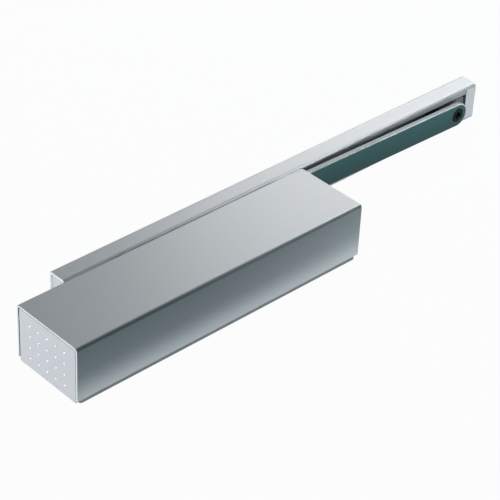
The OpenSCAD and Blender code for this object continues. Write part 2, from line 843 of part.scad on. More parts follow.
module roller_solid(x) {
    difference() {
        rod_y(-cam_half, cam_half, roller_r, x);
        rod_y(-cam_half - cut, cam_half + cut, pin_r + run_gap, x);
        for (side = [-1, 1])
            translate([x, side * cam_half, axis_z])
                rotate([90, 0, 0])
                    rotate_extrude()
                        translate([(pin_r + roller_r - roller_groove_w) / 2, -roller_groove_depth])
                            square([roller_groove_w, 2 * roller_groove_depth]);
    }
}

module spring_roller() {
    color(BRIGHT) roller_solid(spring_roller_x);
}

module damping_roller() {
    color(BRIGHT) roller_solid(damping_roller_x);
}

module spring_seat() {
    color(STEEL)
        difference() {
            rod_x(seat_x0, seat_x1, piston_r - 2 * sliver);
            rod_x(seat_x0 - cut, seat_x1 + cut, adjuster_r + run_gap);
            for (turn = [0 : 60 : 300])
                translate([0, 0, axis_z])
                    rotate([turn, 0, 0])
                        rod_x(seat_x0 - cut, seat_x1 + cut, seat_port_r, 0, seat_port_pitch_r);
        }
}

module adjusting_screw() {
    thread_x0 = seat_x0 - seat_travel - screw_past_seat;
    color(STEEL)
        difference() {
            union() {
                rod_x(thread_x0, housing_half - sliver, adjuster_r);
                rod_x(plug_inner_x - seat_gap - collar_t, plug_inner_x - seat_gap, collar_r);
            }
            hex_x(housing_half - socket_depth, housing_half + cut, adjuster_socket);
        }
}

// A regulating valve: a slotted stem with a sealing groove and a conical tip
module valve_solid(side_y, side_z) {
    head_x = 0.5;
    groove_x = 6;
    groove_w = 1.8;
    stem_x = valve_len * 0.6;
    tip_len = 3;
    neck_r = valve_r - 1;
    slot_w = 1;
    translate([-housing_half, side_y * valve_off_y, axis_z + side_z * valve_off_z])
        rotate([0, 90, 0])
            difference() {
                rotate_extrude()
                    polygon([[0, head_x], [valve_r, head_x], [valve_r, groove_x],
                             [neck_r, groove_x], [neck_r, groove_x + groove_w],
                             [valve_r, groove_x + groove_w], [valve_r, stem_x], [neck_r, stem_x],
                             [neck_r, valve_len - tip_len], [0, valve_len]]);
                translate([-valve_r - cut, -slot_w / 2, -cut])
                    cube([2 * (valve_r + cut), slot_w, cut + head_x + 1.5]);
            }
}

module closing_valve() {
    color(BRASS) valve_solid(-1, 1);
}

module latch_valve() {
    color(BRASS) valve_solid(-1, -1);
}

module backcheck_valve() {
    color(BRASS) valve_solid(1, 1);
}

// Turns where the wire of a coil is at a share of its length; the first and last turn lie closer
function coil_share(t, turns, lead, pitch) =
    t < 1 ? lead * t
          : t < turns - 1 ? lead + pitch * (t - 1)
                          : lead + pitch * (turns - 2) + lead * (t - turns + 1);

// Centre line of a coil from x0 to x1 round the piston bore's axis
function coil_path(x0, x1, wire_r, coil_r, turns, steps = 8) =
    let (lead = 2 * wire_r + 0.6,
         pitch = (x1 - x0 - 2 * wire_r - 2 * lead) / (turns - 2))
    [for (i = [0 : turns * steps])
        let (t = i / steps)
        [x0 + wire_r + coil_share(t, turns, lead, pitch),
         coil_r * cos(360 * t), axis_z + coil_r * sin(360 * t)]];

// One tube of six sides along a coil's centre line
module coil_tube(path, wire_r) {
    last = len(path) - 1;
    sides = 6;
    rings = [for (i = [0 : last])
        let (out = [0, path[i][1], path[i][2] - axis_z],
             radial = out / norm(out),
             along = path[min(i + 1, last)] - path[max(i - 1, 0)],
             side = cross(along / norm(along), radial))
        [for (k = [0 : sides - 1]) path[i] + wire_r * (cos(60 * k) * radial
                                                       + sin(60 * k) * side / norm(side))]];
    points = [for (ring = rings) for (p = ring) p];
    walls = [for (i = [0 : last - 1], k = [0 : sides - 1], half = [0, 1])
        let (a = i * sides + k, b = i * sides + (k + 1) % sides)
        half == 0 ? [a, b + sides, b] : [a, a + sides, b + sides]];
    start = [for (k = [1 : sides - 2]) [0, k, k + 1]];
    finish = [for (k = [1 : sides - 2]) [last * sides, last * sides + k + 1, last * sides + k]];
    polyhedron(points = points, faces = concat(walls, start, finish));
}

// Least gap between a coil and its own next turn, measured on the points of its centre line
function coil_gap(path, wire_r, steps = 8) =
    min([for (i = [0 : len(path) - 1 - steps], k = [-1 : 1])
            if (i + steps + k < len(path)) norm(path[i + steps + k] - path[i])]) - 2 * wire_r;

outer_path = coil_path(spring_piston_x1 + seat_gap, seat_x0 - seat_gap, outer_wire_r, outer_coil_r,
                       outer_turns);
inner_path = coil_path(spring_piston_x1 + seat_gap, seat_x0 - seat_gap, inner_wire_r, inner_coil_r,
                       inner_turns);
return_path = coil_path(-plug_inner_x + seat_gap, damping_piston_x0 - seat_gap, return_wire_r,
                        return_coil_r, return_turns);
echo(outer_spring_gap = coil_gap(outer_path, outer_wire_r));
echo(inner_spring_gap = coil_gap(inner_path, inner_wire_r));
echo(return_spring_gap = coil_gap(return_path, return_wire_r));

module closing_spring_outer() {
    color(BRIGHT) coil_tube(outer_path, outer_wire_r);
}

module closing_spring_inner() {
    color(BRIGHT) coil_tube(inner_path, inner_wire_r);
}

module return_spring() {
    color(BRIGHT) coil_tube(return_path, return_wire_r);
}

// Section of the slide channel: x is the body's Y, y is the body's Z
module channel_section() {
    difference() {
        translate([rail_y0 + rail_h / 2, 0]) arch(rail_h, rail_d, rail_edge_r);
        translate([cavity_y0, rail_wall]) square([rail_h - 2 * rail_wall, rail_d - 2 * rail_wall]);
        translate([rail_y0 - cut, rail_lip]) square([rail_wall + 2 * cut, rail_d - 2 * rail_lip]);
    }
}

module slide_channel() {
    color(SILVER)
        difference() {
            along_x(rail_x0, rail_x1) channel_section();
            // the lips stop short of both end pieces
            for (span = [[rail_x0 - cut, slot_x0], [slot_x1, rail_x1 + cut]])
                translate([span[0], rail_y0 - cut, rail_wall])
                    cube([span[1] - span[0], rail_wall + 2 * cut, rail_d - 2 * rail_wall]);
            // notches in the back for the feet of the end pieces
            for (span = [[rail_x0 - cut, end_fix_left + foot_w / 2 + run_gap],
                         [end_fix_right - foot_w / 2 - run_gap, rail_x1 + cut]])
                translate([span[0], end_mid_y - foot_w / 2 - run_gap, -cut])
                    cube([span[1] - span[0], foot_w + 2 * run_gap, rail_wall + 2 * cut]);
        }
}

// End piece of the channel with its foot on the frame and its screw hole
module end_piece(x0, x1, fix_x) {
    difference() {
        union() {
            translate([x0, rail_y0 - end_proud, rail_wall + run_gap])
                cube([x1 - x0, cavity_y1 - run_gap - rail_y0 + end_proud,
                      rail_d - 2 * rail_wall - 2 * run_gap]);
            translate([fix_x - foot_w / 2, end_mid_y - foot_w / 2, 0])
                cube([foot_w, foot_w, rail_wall + cut]);
        }
        rod_z(-cut, rail_d, rail_fix_r, fix_x, end_mid_y);
        rod_z(rail_fix_seat, rail_d, rail_fix_head_r, fix_x, end_mid_y);
    }
}

module channel_end_left() {
    color(CAP_GREY)
        difference() {
            end_piece(rail_x0 + cap_recess, slot_x0 - run_gap, end_fix_left);
            rod_y(rail_y0 - cut - end_proud, rail_y1, clamp_r + run_gap, clamp_x, slot_z);
        }
}

module channel_end_right() {
    color(CAP_GREY) end_piece(slot_x1 + run_gap, rail_x1 - cap_recess, end_fix_right);
}

module channel_clamp_screw() {
    color(DARK)
        difference() {
            rod_y(rail_y0 + clamp_recess, cavity_y1 - run_gap, clamp_r, clamp_x, slot_z);
            hex_y(rail_y0 - cut, rail_y0 + clamp_recess + socket_depth, clamp_socket, clamp_x, slot_z);
        }
}

module slide_block() {
    neck_half = (rail_d - 2 * rail_lip) / 2 - block_gap;
    body_half = rail_d / 2 - rail_wall - block_gap;
    color(DARK)
        difference() {
            union() {
                translate([bolt_x, block_y1, slot_z])
                    rotate([90, 0, 0])
                        linear_extrude(height = block_y1 - block_y0)
                            rounded_rect(block_len, 2 * body_half, block_corner_r);
                translate([bolt_x, block_y0 + cut, slot_z])
                    rotate([90, 0, 0])
                        linear_extrude(height = block_y0 + cut - rail_y0 + seat_gap)
                            rounded_rect(block_len, 2 * neck_half, block_corner_r);
            }
            rod_y(rail_y0 - cut, block_y1 + cut, bush_r + run_gap, bolt_x, slot_z);
            rod_y(block_y1 - ring_recess, block_y1 + cut, ring_recess_r, bolt_x, slot_z);
        }
}

module block_bush() {
    color(BRASS)
        difference() {
            rod_y(rail_y0 - seat_gap, block_y1 - ring_recess, bush_r, bolt_x, slot_z);
            rod_y(rail_y0 - cut, block_y1, bolt_r + run_gap, bolt_x, slot_z);
        }
}

mounting_plate();
housing();
cover();
end_cap_left();
end_cap_right();
housing_screws();
end_plug_left();
end_plug_right();
plug_seals();
upper_bearing();
lower_bearing();
spindle_seal();
bearing_cap_top();
bearing_cap_bottom();
closing_spring_outer();
closing_spring_inner();
return_spring();
cam_spindle();
arm();
arm_screw();
slide_bolt();
retaining_ring();
spring_piston();
spring_roller_pin();
spring_roller();
damping_piston();
damping_roller_pin();
damping_roller();
check_valve();
spring_seat();
adjusting_screw();
closing_valve();
latch_valve();
backcheck_valve();
slide_block();
block_bush();
slide_channel();
channel_end_left();
channel_end_right();
channel_clamp_screw();
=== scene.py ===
"""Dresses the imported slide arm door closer: finished pieces, materials and a plain studio."""

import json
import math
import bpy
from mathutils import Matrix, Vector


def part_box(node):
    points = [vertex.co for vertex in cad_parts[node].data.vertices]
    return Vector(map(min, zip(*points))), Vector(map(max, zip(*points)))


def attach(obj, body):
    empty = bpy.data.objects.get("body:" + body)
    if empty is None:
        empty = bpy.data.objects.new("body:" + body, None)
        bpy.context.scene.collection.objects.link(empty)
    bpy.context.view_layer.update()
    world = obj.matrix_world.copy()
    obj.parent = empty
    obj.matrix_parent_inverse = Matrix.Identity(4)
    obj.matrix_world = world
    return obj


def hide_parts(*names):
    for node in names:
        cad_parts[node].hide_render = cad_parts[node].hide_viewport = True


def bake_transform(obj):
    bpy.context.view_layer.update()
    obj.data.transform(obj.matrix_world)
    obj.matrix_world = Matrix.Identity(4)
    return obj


bl_info = {
    "name": "Slide Arm Door Closer",
    "version": (1, 0, 0),
    "blender": (4, 5, 0),
    "location": "3D View > Sidebar > Door Closer",
    "description": "Builds the finished pieces of a slide arm door closer round its packed frame",
    "category": "Object",
}

import bmesh
import bpy
from mathutils import Matrix, Vector

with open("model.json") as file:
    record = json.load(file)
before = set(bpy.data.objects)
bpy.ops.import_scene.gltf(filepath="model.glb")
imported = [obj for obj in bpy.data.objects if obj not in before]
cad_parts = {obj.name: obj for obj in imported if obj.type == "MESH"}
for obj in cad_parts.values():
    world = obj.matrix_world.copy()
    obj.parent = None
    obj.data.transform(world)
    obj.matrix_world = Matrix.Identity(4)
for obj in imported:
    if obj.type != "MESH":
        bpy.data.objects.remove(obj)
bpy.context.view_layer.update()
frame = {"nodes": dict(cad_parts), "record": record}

MM = 0.001
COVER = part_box("cover")
LEFT_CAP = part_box("end_cap_left")
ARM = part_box("arm")
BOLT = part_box("slide_bolt")
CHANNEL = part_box("slide_channel")
LONG_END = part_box("channel_end_left")
SHORT_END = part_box("channel_end_right")
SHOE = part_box("slide_block")
JOINTS = {joint["name"]: joint for joint in frame["record"]["behaviour"]["joints"]}
SPINDLE = Vector(JOINTS["arm_swing"]["pos_m"])
BOLT_AXIS = Vector(JOINTS["shoe_pivot"]["pos_m"])
AT_SPINDLE = (SPINDLE.x, 0, SPINDLE.z)
AT_BOLT = (BOLT_AXIS.x, 0, BOLT_AXIS.z)

# A face broader than this is a flat, and a narrower one is a strip of a round edge
BROAD = 2.4 * MM

# Lamps: name, place, target, size, watts and spread in degrees
LAMP_TINT = (1.0, 0.985, 1.0)
LAMPS = (
    # The front faces mirror the key light, more of it towards their right ends
    ("key_light", (1.36, 0.68, 0.80), (0.14, 0.02, 0.03), (1.2, 0.9), 21, 180),
    # Lights the left cap and passes behind the body's lower side
    ("cap_light", (-1.5, 0.40, 0.16), (-0.14, 0, 0.02), (0.8, 0.8), 26, 180),
    # Skims the floor in front and brightens the foot of the body's lower side
    ("foot_light", (0.0, -1.1, 0.08), (0.0, -0.0335, 0.0), (0.30, 0.02), 0.015, 2.5),
    # Reaches the right end of the slide channel and fades out over the body
    ("front_light", (0.75, -1.0, 0.12), (0.36, 0.05, 0.01), (0.3, 0.3), 0.27, 30),
    # Mirrored by the round edges and chamfers that face the camera
    ("edge_light", (1.05, -0.55, 1.06), (0.20, 0.05, 0.03), (1.1, 0.7), 4.2, 180),
)
FLOOR_WIDTH = 40
FLOOR_THICKNESS = 0.02
FLOOR_CORNER = 1
FLOOR_GAP = 0.1 * MM


# Sizes and colours that a user would change


def length(name, description, default):
    """A size in metres."""
    return bpy.props.FloatProperty(
        name=name, description=description, default=default, min=0, unit="LENGTH", precision=5
    )


def colour(name, description, default):
    """A colour in linear red, green and blue."""
    return bpy.props.FloatVectorProperty(
        name=name, description=description, default=default, size=3, min=0, max=1, subtype="COLOR"
    )


class BodySizes(bpy.types.PropertyGroup):
    sheet: length("Sheet", "Thickness of the cover's sheet", 1.6 * MM)
    bend: length("Bend", "Outer radius of the cover's bends", 2.5 * MM)
    notch: length("Notch", "Radius of the cover's notch at the spindle", 18.3 * MM)
    cap_face: length("Cap face", "Thickness of an end cap's face", 2.2 * MM)
    cap_rim: length("Cap rim", "Thickness of the rim behind an end cap", 1.6 * MM)
    cap_step: length("Cap step", "Step between an end cap's face and the rim behind it", 0.5 * MM)
    rim_base: length("Rim base", "Height over the door at which that rim starts", 3.3 * MM)
    pip: length("Pip", "Radius of a pip", 1.2 * MM)
    pip_rise: length("Pip rise", "Height of a pip", 0.5 * MM)
    pip_pitch: length("Pip pitch", "Distance between neighbouring pips", 9.6 * MM)
    pip_centre: length("Pip centre", "Height of the pips' middle over the door", 23 * MM)
    pip_columns: bpy.props.IntProperty(name="Pip columns", description="Pips along Y", default=5)
    pip_rows: bpy.props.IntProperty(name="Pip rows", description="Pips along Z", default=4)


class ArmSizes(bpy.types.PropertyGroup):
    width: length("Width", "Width of the arm", 21.6 * MM)
    thickness: length("Thickness", "Thickness of the arm", 4.7 * MM)
    hub: length("Hub", "Radius of the arm's hub", 11.5 * MM)
    chamfer: length("Chamfer", "Chamfer along the arm's edges", 0.8 * MM)
    gap: length("Gap", "Gap between the arm and the slide channel", 3.9 * MM)
    ring: length("Ring", "Radius of the raised ring round the slide bolt", 9.2 * MM)
    bolt_head: length("Bolt head", "Radius of the slide bolt's head", 6.4 * MM)
    bolt_pin: length("Bolt pin", "Radius of the slide bolt's pin", 5 * MM)
    bolt_head_height: length("Bolt head height", "Height of the slide bolt's head", 2.6 * MM)
    square: length("Square", "Width of the hub's square hole", 11.1 * MM)
    screw: length("Screw", "Radius of the arm screw", 3 * MM)


class ChannelSizes(bpy.types.PropertyGroup):
    wall: length("Wall", "Wall of the slide channel", 2.2 * MM)
    lip: length("Lip", "Width of each lip beside the slot, its wall included", 6.5 * MM)
    edge: length("Edge", "Radius of the channel's front edges", 2.2 * MM)
    foot: length("Foot", "Width of an end piece's foot", 8 * MM)
    hole: length("Hole", "Radius of an end piece's screw hole", 2.6 * MM)
    head_hole: length("Head hole", "Radius of the recess for the screw's head", 4.7 * MM)
    seat: length("Seat", "Depth of material under the screw's head", 8 * MM)
    play: length("Play", "Clearance round fitted pieces", 0.05 * MM)


class FinishColours(bpy.types.PropertyGroup):
    satin: colour("Satin aluminium", "Cover of the body", (0.46, 0.50, 0.515))
    channel: colour("Channel", "Slide channel", (0.45, 0.48, 0.495))
    cut_edge: colour("Cut edge", "Bare sawn ends of cover and channel", (0.80, 0.84, 0.85))
    cap: colour("End caps", "Lacquered end caps", (0.61, 0.63, 0.655))
    # Painted highlight on the pips' crowns
    pip: colour("Pips", "Polished crowns of the pips", (0.90, 0.91, 0.92))
    # Painted shade: a dark reflection painted along the cover's bends
    bend: colour("Bends", "Bends of the cover", (0.20, 0.28, 0.29))
    # Painted highlight along the channel's round edges
    round_edge_highlight: colour("Worn edges", "Burnished round edges of the channel", (0.68, 0.72, 0.74))
    # The arm is one silver finish in painted light: painted shade on its faces and edges, a painted
    # highlight on its chamfers
    arm_face_painted_shade: colour("Arm faces", "Flat faces of the arm", (0.014, 0.070, 0.073))
    arm_edge_painted_shade: colour("Arm edges", "Narrow edges of the arm", (0.20, 0.24, 0.25))
    arm_chamfer_painted_highlight: colour("Arm chamfers", "Ground chamfers of the arm", (0.76, 0.80, 0.81))
    plate: colour("Plate", "Zinc plated mounting plate", (0.15, 0.18, 0.19))
    cast: colour("Casting", "Cast housing", (0.42, 0.43, 0.44))
    steel: colour("Steel", "Turned steel pieces", (0.45, 0.46, 0.47))
    bright: colour("Bright steel", "Ground and hardened pieces", (0.66, 0.66, 0.65))
    black: colour("Black steel", "Black oxide screws", (0.002, 0.010, 0.008))
    rubber: colour("Rubber", "Seals", (0.02, 0.02, 0.02))
    brass: colour("Brass", "Valves and bush", (0.62, 0.46, 0.19))
    plastic: colour("Plastic", "Sliding shoe", (0.10, 0.12, 0.13))


class StudioSettings(bpy.types.PropertyGroup):
    eye: bpy.props.FloatVectorProperty(
        name="Eye", description="Place of the camera", subtype="TRANSLATION", unit="LENGTH",
        default=(-0.77466, -0.84315, 0.86704),
    )
    azimuth: bpy.props.FloatProperty(
        name="Azimuth", description="Side from which the camera looks", subtype="ANGLE",
        default=math.radians(-44.5085),
    )
    elevation: bpy.props.FloatProperty(
        name="Elevation", description="Height of the camera", subtype="ANGLE",
        default=math.radians(35.4073),
    )
    roll: bpy.props.FloatProperty(
        name="Roll", description="Tilt of the picture", subtype="ANGLE",
        default=math.radians(2.9351),
    )
    lens: bpy.props.FloatProperty(
        name="Lens", description="Focal length for a 36 mm sensor", default=139.64, min=1,
        unit="CAMERA",
    )
    world: bpy.props.FloatProperty(
        name="World", description="Strength of the even light from all round",
        default=0.05, min=0, max=1, subtype="FACTOR",
    )
    sky: colour("Sky", "Tint of the even light from all round", (0.55, 0.95, 1.0))
    floor: colour("Floor", "Floor as the lamps light it", (0.20, 0.38, 0.46))
    shadow: bpy.props.FloatProperty(
        name="Shadow", description="Share of the object's shadow that the floor keeps",
        default=0.03, min=0, max=1, subtype="FACTOR",
    )


# Outlines and solids


def arc(centre, radius, start, end, steps=6):
    """Points of an arc from one angle to the other, in degrees."""
    turns = [math.radians(start + (end - start) * i / steps) for i in range(steps + 1)]
    return [(centre[0] + radius * math.cos(t), centre[1] + radius * math.sin(t)) for t in turns]


def arch(width, low, high, radius):
    """Outline with two square corners at the bottom and two round ones at the top."""
    side = width / 2 - radius
    return [(-width / 2, low), (width / 2, low)] + arc((side, high - radius), radius, 0, 90) \
        + arc((-side, high - radius), radius, 90, 180)


def rounded_box(width, height, radius, centre=(0, 0)):
    """Outline of a rectangle with four round corners."""
    corners = []
    for start, sx, sy in ((0, 1, 1), (90, -1, 1), (180, -1, -1), (270, 1, -1)):
        middle = (centre[0] + sx * (width / 2 - radius), centre[1] + sy * (height / 2 - radius))
        corners += arc(middle, radius, start, start + 90)
    return corners


# Where an outline's own x and y and its depth point in the row frame
ALONG_X = Matrix(((0, 0, 1), (1, 0, 0), (0, 1, 0))).to_4x4()
ALONG_Y = Matrix(((1, 0, 0), (0, 0, 1), (0, 1, 0))).to_4x4()
ALONG_Z = Matrix.Identity(4)


def new_object(name, form):
    """An object in the scene from a finished bmesh, with its faces turned outward."""
    bmesh.ops.recalc_face_normals(form, faces=form.faces)
    if form.calc_volume(signed=True) < 0:
        bmesh.ops.reverse_faces(form, faces=form.faces)
    mesh = bpy.data.meshes.new(name)
    form.to_mesh(mesh)
    form.free()
    piece = bpy.data.objects.new(name, mesh)
    bpy.context.scene.collection.objects.link(piece)
    return piece


def prism(name, outline, start, end, along, place=(0, 0, 0), chamfer=0):
    """A closed solid with one outline, from start to end along an axis of the row frame."""
    form = bmesh.new()
    rim = [form.verts.new((x, y, start)) for x, y in outline]
    base = form.faces.new(rim)
    top = bmesh.ops.extrude_face_region(form, geom=[base])["geom"]
    moved = [part for part in top if isinstance(part, bmesh.types.BMVert)]
    bmesh.ops.translate(form, verts=moved, vec=(0, 0, end - start))
    if chamfer:
        # The edges round both end faces keep one depth
        edges = [e for e in form.edges if abs(e.verts[0].co.z - e.verts[1].co.z) < 1e-9]
        bmesh.ops.bevel(form, geom=edges, offset=chamfer, segments=1, affect="EDGES", profile=0.5)
    form.transform(Matrix.Translation(place) @ along)
    return new_object(name, form)


def lathe(name, profile, along, place=(0, 0, 0), steps=64):
    """A closed solid turned round an axis from a profile of (radius, depth) points."""
    form = bmesh.new()
    rings = []
    for radius, depth in profile:
        if radius == 0:
            rings.append([form.verts.new((0, 0, depth))])
            continue
        turns = [2 * math.pi * i / steps for i in range(steps)]
        rings.append([form.verts.new((radius * math.cos(t), radius * math.sin(t), depth))
                      for t in turns])
    for lower, upper in zip(rings, rings[1:] + rings[:1]):
        if len(lower) == 1 and len(upper) == 1:
            continue
        for i in range(steps):
            j = (i + 1) % steps
            corners = [lower[i % len(lower)], lower[j % len(lower)],
                       upper[j % len(upper)], upper[i % len(upper)]]
            form.faces.new(list(dict.fromkeys(corners)))
    form.transform(Matrix.Translation(place) @ along)
    return new_object(name, form)


def apply_modifiers(piece):
    """Writes a piece's modifiers into its mesh."""
    graph = bpy.context.evaluated_depsgraph_get()
    mesh = bpy.data.meshes.new_from_object(piece.evaluated_get(graph))
    piece.modifiers.clear()
    piece.data = mesh


def carve(piece, tools, operation="DIFFERENCE"):
    """Takes the tools out of a piece, or joins them to it, and removes them.

    A cutting tool runs half a millimetre or one past each face that it opens.
    """
    for tool in tools:
        change = piece.modifiers.new("Carve", "BOOLEAN")
        change.operation = operation
        change.solver = "EXACT"
        change.object = tool
    apply_modifiers(piece)
    for tool in tools:
        bpy.data.objects.remove(tool)
    return piece


def soften(piece, radius, steps=2, angle=32, broad=BROAD):
    """Rounds a piece's sharp edges a little, so that they catch the light."""
    form = bmesh.new()
    form.from_mesh(piece.data)
    bmesh.ops.remove_doubles(form, verts=form.verts, dist=0.002 * MM)
    form.to_mesh(piece.data)
    form.free()
    bevel = piece.modifiers.new("Soft edges", "BEVEL")
    bevel.width = radius
    bevel.segments = steps
    bevel.limit_method = "ANGLE"
    bevel.angle_limit = math.radians(angle)
    bevel.miter_outer = "MITER_ARC"
    bevel.use_clamp_overlap = True
    apply_modifiers(piece)
    return shade_faces(piece, broad)


def shade_faces(piece, broad=BROAD, crease=50):
    """Smooth shading on curved strips narrower than broad, and flat shading on the flats."""
    form = bmesh.new()
    form.from_mesh(piece.data)
    flats = []
    for face in form.faces:
        face.smooth = face.calc_area() < broad * max(edge.calc_length() for edge in face.edges)
        if not face.smooth:
            flats.append(face)
    # A narrow face that lies flush with a flat belongs to it
    while flats:
        face = flats.pop()
        for other in {other for edge in face.edges for other in edge.link_faces if other.smooth}:
            if other.normal.dot(face.normal) > 0.99999:
                other.smooth = False
                flats.append(other)
    for edge in form.edges:
        edge.smooth = edge.calc_face_angle(0) < math.radians(crease)
    form.to_mesh(piece.data)
    form.free()
    return piece


def foot_centres(sizes):
    """Where the feet of the long and of the short end piece stand along X."""
    return ((CHANNEL[0].x + LONG_END[1].x + sizes.play) / 2,
            (CHANNEL[1].x + SHORT_END[0].x - sizes.play) / 2)


def dress(piece, body, slot, material, *nodes):
    """Gives a finished piece its material and its body, and hides the CAD nodes that it stands for.
    """
    piece.data.materials.clear()
    piece.data.materials.append(material)
    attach(piece, body)
    if nodes:
        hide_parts(*nodes)
    return piece


# Materials


class Value:
    """A number that varies over a surface, written into the material as Math nodes."""

    def __init__(self, finish, socket):
        self.finish = finish
        self.socket = socket

    def math(self, operation, *values):
        """The result of one Math node."""
        sockets = dict(enumerate(values))
        node = self.finish.node("ShaderNodeMath", {"operation": operation}, sockets)
        return Value(self.finish, node.outputs[0])

    def __add__(self, other):
        return self.math("ADD", self, other)

    def __radd__(self, other):
        return self.math("ADD", other, self)

    def __sub__(self, other):
        return self.math("SUBTRACT", self, other)

    def __rsub__(self, other):
        return self.math("SUBTRACT", other, self)

    def __mul__(self, other):
        return self.math("MULTIPLY", self, other)

    def __rmul__(self, other):
        return self.math("MULTIPLY", other, self)

    def __abs__(self):
        return self.math("ABSOLUTE", self)

    def step(self, low, high):
        """0 below low, 1 above high and a smooth change between them."""
        node = self.finish.node(
            "ShaderNodeMapRange", {"interpolation_type": "SMOOTHSTEP"},
            {"Value": self, "From Min": low, "From Max": high},
        )
        return Value(self.finish, node.outputs["Result"])


class Finish:
    """One material and its nodes, round a Principled BSDF."""

    def __init__(self, name):
        self.material = bpy.data.materials.new(name)
        self.material.use_nodes = True
        self.nodes = self.material.node_tree.nodes
        self.links = self.material.node_tree.links
        self.nodes.clear()
        self.coordinates = self.node("ShaderNodeTexCoord")
        self.shader = self.node("ShaderNodeBsdfPrincipled")
        self.output = self.node("ShaderNodeOutputMaterial")
        self.feed(self.output.inputs["Surface"], self.shader.outputs["BSDF"])

    def node(self, kind, settings=None, sockets=None):
        """Adds a node: its settings come first, then the values or links of its sockets."""
        node = self.nodes.new(kind)
        for name, value in (settings or {}).items():
            setattr(node, name, value)
        for name, value in (sockets or {}).items():
            self.feed(node.inputs[name], value)
        return node

    def feed(self, socket, value):
        """Links a socket to another one, or gives it a value of its own."""
        if isinstance(value, Value):
            self.links.new(value.socket, socket)
        elif isinstance(value, bpy.types.NodeSocket):
            self.links.new(value, socket)
        elif socket.type == "RGBA":
            socket.default_value = (*value[:3], 1)
        else:
            socket.default_value = value

    def set(self, **sockets):
        """Sets or feeds the shader's sockets; an underscore stands for a space."""
        for name, value in sockets.items():
            self.feed(self.shader.inputs[name.replace("_", " ")], value)

    def place(self, scale):
        """The surface's place in the row frame, stretched by a factor for each axis."""
        node = self.node("ShaderNodeVectorMath", {"operation": "MULTIPLY"},
                         {0: self.coordinates.outputs["Object"], 1: scale})
        return node.outputs[0]

    def noise(self, scale, detail=2, roughness=0.5):
        """Noise from 0 to 1, with its number of waves for each metre along X, Y and Z."""
        node = self.node("ShaderNodeTexNoise", sockets={
            "Vector": self.place(scale), "Scale": 1, "Detail": detail, "Roughness": roughness})
        return Value(self, node.outputs["Fac"])

    def along(self, kind, axis):
        """One axis of the surface's coordinates of a kind."""
        node = self.node("ShaderNodeSeparateXYZ", sockets={0: self.coordinates.outputs[kind]})
        return Value(self, node.outputs[axis])

    def facing(self, axis):
        """How far the surface's normal points along an axis, either way."""
        return abs(self.along("Normal", axis))

    def where(self, axis):
        """The surface's place along one axis of the row frame."""
        return self.along("Object", axis)

    def blend(self, amount, first, second):
        """One colour where amount is 0, the other where it is 1."""
        node = self.node("ShaderNodeMix", {"data_type": "RGBA"}, {0: amount, 6: first, 7: second})
        return node.outputs[2]

    def relief(self, height, depth):
        """Bump from a height of 0 to 1, at a depth in metres."""
        node = self.node("ShaderNodeBump", sockets={"Height": height, "Distance": depth})
        self.set(Normal=node.outputs["Normal"])


def shade(base, factor):
    """A colour made lighter or darker."""
    return [min(1, channel * factor) for channel in base[:3]]


def satin_aluminium(name, base, bare, edge, edge_metal, crest, dusk):
    """Anodised aluminium, grained along X, with bare sawn ends and painted light on the long round
    edges.

    An edge takes the painted tone where its normal's Z passes from the first to the second value of
    crest.
    The sides get painted shade, darker towards the front, from the first to the second height of
    dusk.
    """
    finish = Finish(name)
    grain = finish.noise((30, 2600, 2600), detail=3)
    cloud = finish.noise((9, 22, 22))
    sawn = finish.facing("X").step(0.6, 0.9)
    saw_marks = finish.noise((500, 5000, 300))
    skin = finish.blend(cloud, shade(base, 0.96), shade(base, 1.04))
    skin = finish.blend((grain - 0.5) * 0.5 + 0.25, skin, shade(base, 1.15))
    # Painted shade: the flat sides darken towards the front
    painted_side_shade = finish.facing("Y").step(0.97, 0.999) * finish.where("Z").step(*dusk)
    skin = finish.blend(painted_side_shade, skin, shade(base, 0.72))
    # Painted light on the long round edges: a dark painted reflection on the cover's bends, a
    # painted highlight on the channel's edges
    bend = finish.facing("Y").step(0.20, 0.65) * finish.facing("Z").step(*crest)
    skin = finish.blend(bend, skin, edge)
    finish.set(
        Base_Color=finish.blend(sawn, skin, bare),
        Metallic=0.03 + sawn * 0.3 + bend * edge_metal,
        Roughness=0.30 + grain * 0.08 - sawn * 0.04 + saw_marks * sawn * 0.1,
    )
    finish.relief(grain * (1 - sawn) + saw_marks * sawn, 0.006 * MM)
    return finish.material


def cap_lacquer(name, base, crown=None, crown_x=0):
    """Silver lacquer with a fine orange peel, and perhaps a painted highlight on the crowns beyond
    crown_x.
    """
    finish = Finish(name)
    peel = finish.noise((1500, 1500, 1500), detail=1)
    cloud = finish.noise((60, 60, 60))
    flakes = finish.noise((9000, 9000, 9000), detail=0)
    skin = finish.blend(cloud, shade(base, 0.97), shade(base, 1.03))
    skin = finish.blend(flakes.step(0.62, 0.75) * 0.35, skin, shade(base, 1.3))
    if crown is not None:
        # Painted highlight on the pips' crowns
        pip_highlight = abs(finish.where("X")).step(crown_x, crown_x + 0.06 * MM)
        skin = finish.blend(pip_highlight, skin, crown)
    finish.set(Base_Color=skin, Metallic=0.2, Roughness=0.28 + peel * 0.08)
    finish.relief(peel, 0.01 * MM)
    return finish.material


